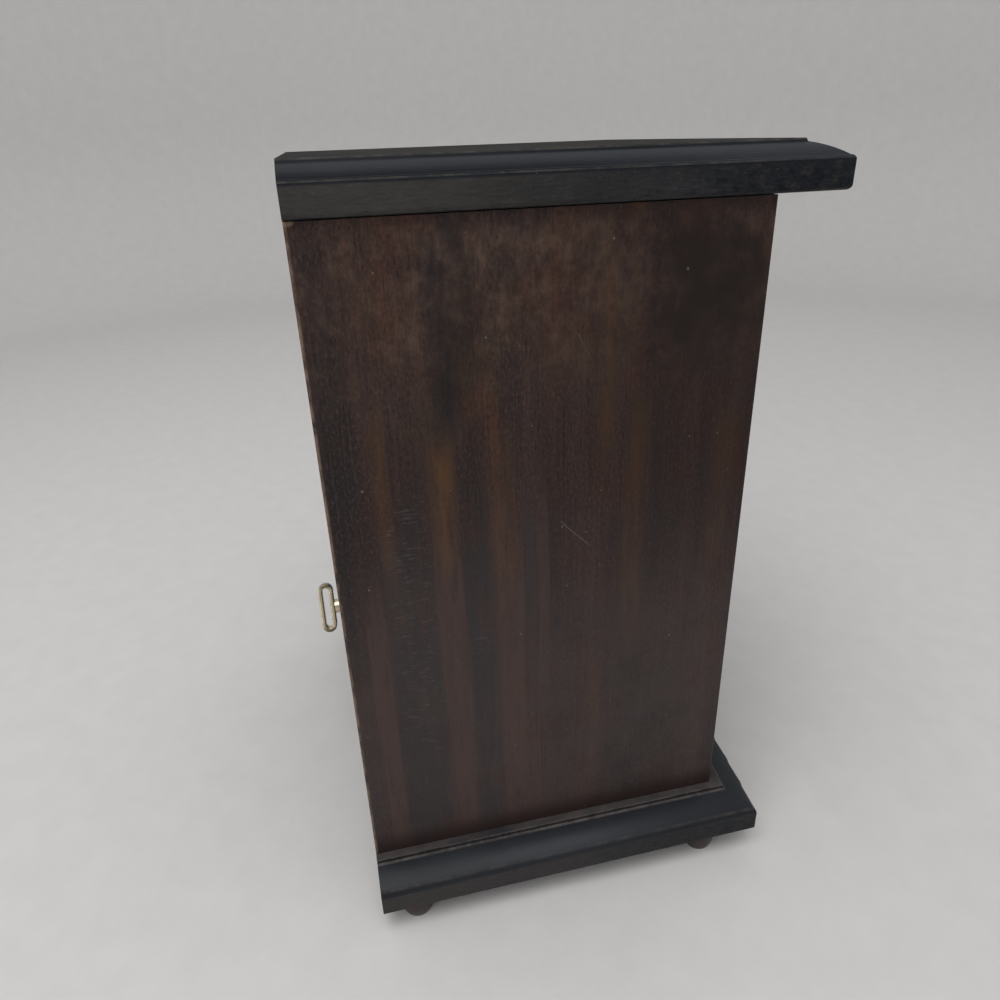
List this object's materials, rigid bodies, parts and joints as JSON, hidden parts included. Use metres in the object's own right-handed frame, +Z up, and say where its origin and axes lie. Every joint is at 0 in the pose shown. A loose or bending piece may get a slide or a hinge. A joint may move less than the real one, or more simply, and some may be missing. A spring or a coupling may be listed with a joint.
{
  "type": "musical jewelry box",
  "caption": "Upright wooden musical jewelry box with a hinged mirrored lid, two doors, two drawers and a wind-up music movement.",
  "frame": {"origin": "middle of the whole box's footprint, on the surface that the feet stand on", "axes": "+Z up, -Y towards the doors and drawers, +Y towards the winding key, +X to the right seen from the front"},
  "size_m": [0.206, 0.174, 0.2624],
  "materials": {
    "ebonised": "satin black paint",
    "walnut": "satin dark walnut stain",
    "plain_wood": "bare pale wood",
    "foot_wood": "satin reddish-brown stain",
    "brass": "polished, slightly worn",
    "steel": "satin",
    "cast": "as cast",
    "nylon": "matt",
    "velvet": "short red pile",
    "mirror": "silvered glass"
  },
  "bodies": {
    "case": {"feet": "foot_wood", "base_board": "ebonised", "left_side_panel": "walnut", "right_side_panel": "walnut", "back_panel": "walnut", "front_apron": "walnut", "tray_floor": "plain_wood", "cabinet_floor": "walnut", "drawer_rail": "walnut", "drawer_runners": "plain_wood", "drawer_stop_board": "plain_wood", "lid_hinge_seats": "brass", "lid_hinge_pins": "steel", "door_hinge_seats": "brass", "door_hinge_pins": "steel", "door_catch": "nylon", "necklace_hooks": "brass", "tray_divider": "plain_wood", "ring_pad": "velvet", "tray_pad": "velvet", "movement_bedplate": "cast", "movement_screws": "steel", "comb": "steel", "comb_screws": "steel", "governor_bracket": "steel"},
    "lid": {"lid_board": "ebonised", "lid_mirror": "mirror", "mirror_frame": "brass", "lid_hinge_leaves": "brass"},
    "left_door": {"left_door_frame": "walnut", "left_door_panel": "walnut", "left_door_knob": "brass", "left_door_hinge_leaves": "brass", "left_strike_plate": "steel"},
    "right_door": {"right_door_frame": "walnut", "right_door_panel": "walnut", "right_door_knob": "brass", "right_door_hinge_leaves": "brass", "right_strike_plate": "steel"},
    "lower_drawer": {"lower_drawer_front": "walnut", "lower_drawer_sides": "plain_wood", "lower_drawer_back": "plain_wood", "lower_drawer_bottom": "plain_wood", "lower_drawer_pad": "velvet", "lower_drawer_knob": "brass"},
    "upper_drawer": {"upper_drawer_front": "walnut", "upper_drawer_sides": "plain_wood", "upper_drawer_back": "plain_wood", "upper_drawer_bottom": "plain_wood", "upper_drawer_pad": "velvet", "upper_drawer_knob": "brass"},
    "key": {"winding_key": "brass", "winding_arbor": "steel"},
    "barrel": {"spring_barrel": "steel"},
    "cylinder": {"pinned_cylinder": "brass", "cylinder_gear": "brass", "cylinder_axle": "steel"},
    "fly": {"governor_fly": "nylon"},
    "stop_rod": {"stop_rod": "steel"}
  },
  "joints": [
    {"name": "lid_hinge", "type": "hinge", "parent": "case", "child": "lid", "pos_m": [0, 0.07518, 0.24845], "axis": [-1, 0, 0], "range_deg": [0, 95]},
    {"name": "left_door_hinge", "type": "hinge", "parent": "case", "child": "left_door", "pos_m": [-0.08175, -0.06132, 0.15255], "axis": [0, 0, -1], "range_deg": [0, 170]},
    {"name": "right_door_hinge", "type": "hinge", "parent": "case", "child": "right_door", "pos_m": [0.08175, -0.06132, 0.15255], "axis": [0, 0, 1], "range_deg": [0, 170]},
    {"name": "lower_drawer_slide", "type": "slide", "parent": "case", "child": "lower_drawer", "axis": [0, -1, 0], "range_m": [0, 0.07]},
    {"name": "upper_drawer_slide", "type": "slide", "parent": "case", "child": "upper_drawer", "axis": [0, -1, 0], "range_m": [0, 0.07]},
    {"name": "key_winding", "type": "hinge", "parent": "case", "child": "key", "pos_m": [0.01, 0.06748, 0.073], "axis": [0, 1, 0], "continuous": true},
    {"name": "barrel_turn", "type": "hinge", "parent": "case", "child": "barrel", "pos_m": [0.01, 0.06748, 0.073], "axis": [0, -1, 0], "continuous": true},
    {"name": "cylinder_turn", "type": "hinge", "parent": "case", "child": "cylinder", "pos_m": [0.01, 0.05728, 0.073], "axis": [1, 0, 0], "continuous": true},
    {"name": "fly_turn", "type": "hinge", "parent": "case", "child": "fly", "pos_m": [-0.00321, 0.06748, 0.08532], "axis": [0, -1, 0], "continuous": true},
    {"name": "stop_rod_lift", "type": "slide", "parent": "case", "child": "stop_rod", "axis": [0, 0, 1], "range_m": [0, 0.003]}
  ],
  "couplings": [
    {"joint": "cylinder_turn", "follows": "barrel_turn", "ratio": -3},
    {"joint": "fly_turn", "follows": "barrel_turn", "ratio": -6.2},
    {"joint": "stop_rod_lift", "follows": "lid_hinge", "m_per_rad": 0.0018075}
  ]
}
